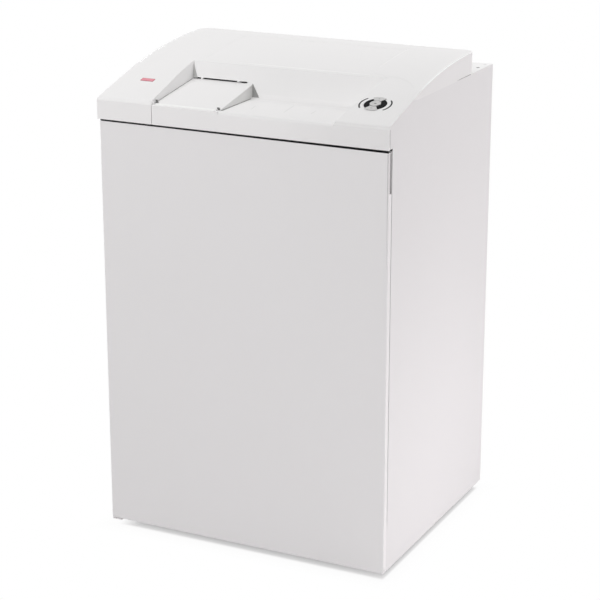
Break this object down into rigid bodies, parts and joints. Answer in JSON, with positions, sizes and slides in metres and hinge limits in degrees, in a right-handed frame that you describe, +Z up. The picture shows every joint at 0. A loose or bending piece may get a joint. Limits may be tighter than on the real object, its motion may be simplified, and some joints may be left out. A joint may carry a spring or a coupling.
{
  "type": "disc shredder",
  "caption": "Cabinet disc shredder with scooped feed table and slot, key dial, full-height door, pull-out bin, toothed rollers and castors.",
  "frame": {"origin": "centre of the bounding box on the floor", "axes": "+X to the right seen from the front, +Y to the rear, +Z up"},
  "size_m": [0.644, 0.547, 1.012],
  "materials": {
    "white_paint": "semi-matt powder coat",
    "white_plastic": "fine satin grain",
    "grey_paint": "semi-matt powder coat",
    "steel": "bright zinc plate",
    "tool_steel": "ground and oiled",
    "bronze": "turned bronze",
    "motor_paint": "dark enamel",
    "black_plastic": "satin black",
    "silver_plastic": "silver lacquer",
    "grip_plastic": "satin grey",
    "red_badge": "glossy lacquer",
    "bin_plastic": "moulded satin",
    "wheel_rubber": "solid tyre"
  },
  "bodies": {
    "cabinet": {"side_panel_left": "white_paint", "side_panel_right": "white_paint", "rear_deck": "white_paint", "top_cover": "white_plastic", "service_hatch": "white_plastic", "feed_table": "white_plastic", "base_pan": "grey_paint", "rear_panel": "grey_paint", "machine_deck": "grey_paint", "front_guard": "grey_paint", "discharge_chute": "grey_paint", "bin_runners": "grey_paint", "hinge_brackets": "steel", "case_screws": "steel", "head_plate_left": "steel", "head_plate_right": "steel", "tie_rods": "steel", "stripper_front": "steel", "stripper_rear": "steel", "feed_hopper": "steel", "castor_plates": "steel", "capacitor": "steel", "roller_bushes": "bronze", "gearbox": "motor_paint", "drive_motor": "motor_paint", "motor_cowl": "motor_paint", "door_catch": "black_plastic", "door_switch": "black_plastic", "mains_inlet": "black_plastic", "control_box": "black_plastic", "control_base": "silver_plastic", "badge_plate": "red_badge"},
    "door": {"door_skin": "white_paint", "door_liner": "grey_paint", "grip_cup": "grip_plastic", "hinge_bushes": "bronze", "strike_plate": "steel"},
    "plunger": {"switch_plunger": "grip_plastic"},
    "bin": {"waste_bin": "bin_plastic", "bin_carriage": "grey_paint"},
    "key_left": {"key_left": "black_plastic"},
    "key_right": {"key_right": "black_plastic"},
    "stop_button": {"stop_button": "silver_plastic"},
    "cutter_front": {"cutter_front": "tool_steel", "sync_gear_front": "tool_steel"},
    "cutter_rear": {"cutter_rear": "tool_steel", "sync_gear_rear": "tool_steel", "drive_gear": "tool_steel"},
    "pinion": {"drive_pinion": "tool_steel"},
    "flap": {"splinter_flap": "white_plastic"},
    "rocker": {"mains_rocker": "black_plastic"},
    "fork_1": {"castor_fork_1": "steel"},
    "wheel_1": {"castor_wheel_1": "wheel_rubber"},
    "fork_2": {"castor_fork_2": "steel"},
    "wheel_2": {"castor_wheel_2": "wheel_rubber"},
    "fork_3": {"castor_fork_3": "steel"},
    "wheel_3": {"castor_wheel_3": "wheel_rubber"},
    "fork_4": {"castor_fork_4": "steel"},
    "wheel_4": {"castor_wheel_4": "wheel_rubber"}
  },
  "joints": [
    {"name": "door_hinge", "type": "hinge", "parent": "cabinet", "child": "door", "pos_m": [-0.3125, -0.262, 0.45], "axis": [0, 0, -1], "range_deg": [0, 110]},
    {"name": "bin_slide", "type": "slide", "parent": "cabinet", "child": "bin", "axis": [0, -1, 0], "range_m": [0, 0.1634]},
    {"name": "plunger_slide", "type": "slide", "parent": "cabinet", "child": "plunger", "axis": [0, -1, 0], "range_m": [0, 0.0032]},
    {"name": "key_left_press", "type": "slide", "parent": "cabinet", "child": "key_left", "axis": [0, 0.2672, -0.9636], "range_m": [0, 0.0015], "stiffness_N_per_m": 500},
    {"name": "key_right_press", "type": "slide", "parent": "cabinet", "child": "key_right", "axis": [0, 0.2672, -0.9636], "range_m": [0, 0.0015], "stiffness_N_per_m": 500},
    {"name": "stop_button_press", "type": "slide", "parent": "cabinet", "child": "stop_button", "axis": [0, 0.2672, -0.9636], "range_m": [0, 0.0015], "stiffness_N_per_m": 500},
    {"name": "cutter_rear_spin", "type": "hinge", "parent": "cabinet", "child": "cutter_rear", "pos_m": [-0.13, -0.025, 0.825], "axis": [1, 0, 0], "continuous": true},
    {"name": "cutter_front_spin", "type": "hinge", "parent": "cabinet", "child": "cutter_front", "pos_m": [-0.13, -0.085, 0.825], "axis": [1, 0, 0], "continuous": true},
    {"name": "pinion_spin", "type": "hinge", "parent": "cabinet", "child": "pinion", "pos_m": [-0.02, 0.06521, 0.79217], "axis": [1, 0, 0], "continuous": true},
    {"name": "flap_swing", "type": "hinge", "parent": "cabinet", "child": "flap", "pos_m": [-0.13, -0.08177, 0.969], "axis": [1, 0, 0], "range_deg": [0, 95], "stiffness_Nm_per_rad": 0.02},
    {"name": "rocker_tilt", "type": "hinge", "parent": "cabinet", "child": "rocker", "pos_m": [-0.126, 0.2639, 0.344], "axis": [1, 0, 0], "range_deg": [-8, 8]},
    {"name": "castor_swivel_1", "type": "hinge", "parent": "cabinet", "child": "fork_1", "pos_m": [-0.254, -0.2, 0.06], "axis": [0, 0, 1], "continuous": true},
    {"name": "castor_roll_1", "type": "hinge", "parent": "fork_1", "child": "wheel_1", "pos_m": [-0.254, -0.18, 0.025], "axis": [1, 0, 0], "continuous": true},
    {"name": "castor_swivel_2", "type": "hinge", "parent": "cabinet", "child": "fork_2", "pos_m": [0.254, -0.2, 0.06], "axis": [0, 0, 1], "continuous": true},
    {"name": "castor_roll_2", "type": "hinge", "parent": "fork_2", "child": "wheel_2", "pos_m": [0.254, -0.18, 0.025], "axis": [1, 0, 0], "continuous": true},
    {"name": "castor_swivel_3", "type": "hinge", "parent": "cabinet", "child": "fork_3", "pos_m": [-0.254, 0.2, 0.06], "axis": [0, 0, 1], "continuous": true},
    {"name": "castor_roll_3", "type": "hinge", "parent": "fork_3", "child": "wheel_3", "pos_m": [-0.254, 0.22, 0.025], "axis": [1, 0, 0], "continuous": true},
    {"name": "castor_swivel_4", "type": "hinge", "parent": "cabinet", "child": "fork_4", "pos_m": [0.254, 0.2, 0.06], "axis": [0, 0, 1], "continuous": true},
    {"name": "castor_roll_4", "type": "hinge", "parent": "fork_4", "child": "wheel_4", "pos_m": [0.254, 0.22, 0.025], "axis": [1, 0, 0], "continuous": true}
  ],
  "couplings": [
    {"joint": "bin_slide", "follows": "door_hinge", "m_per_rad": 0.085},
    {"joint": "plunger_slide", "follows": "door_hinge", "m_per_rad": 0.0016},
    {"joint": "cutter_front_spin", "follows": "cutter_rear_spin", "ratio": -1},
    {"joint": "pinion_spin", "follows": "cutter_rear_spin", "ratio": -3}
  ]
}
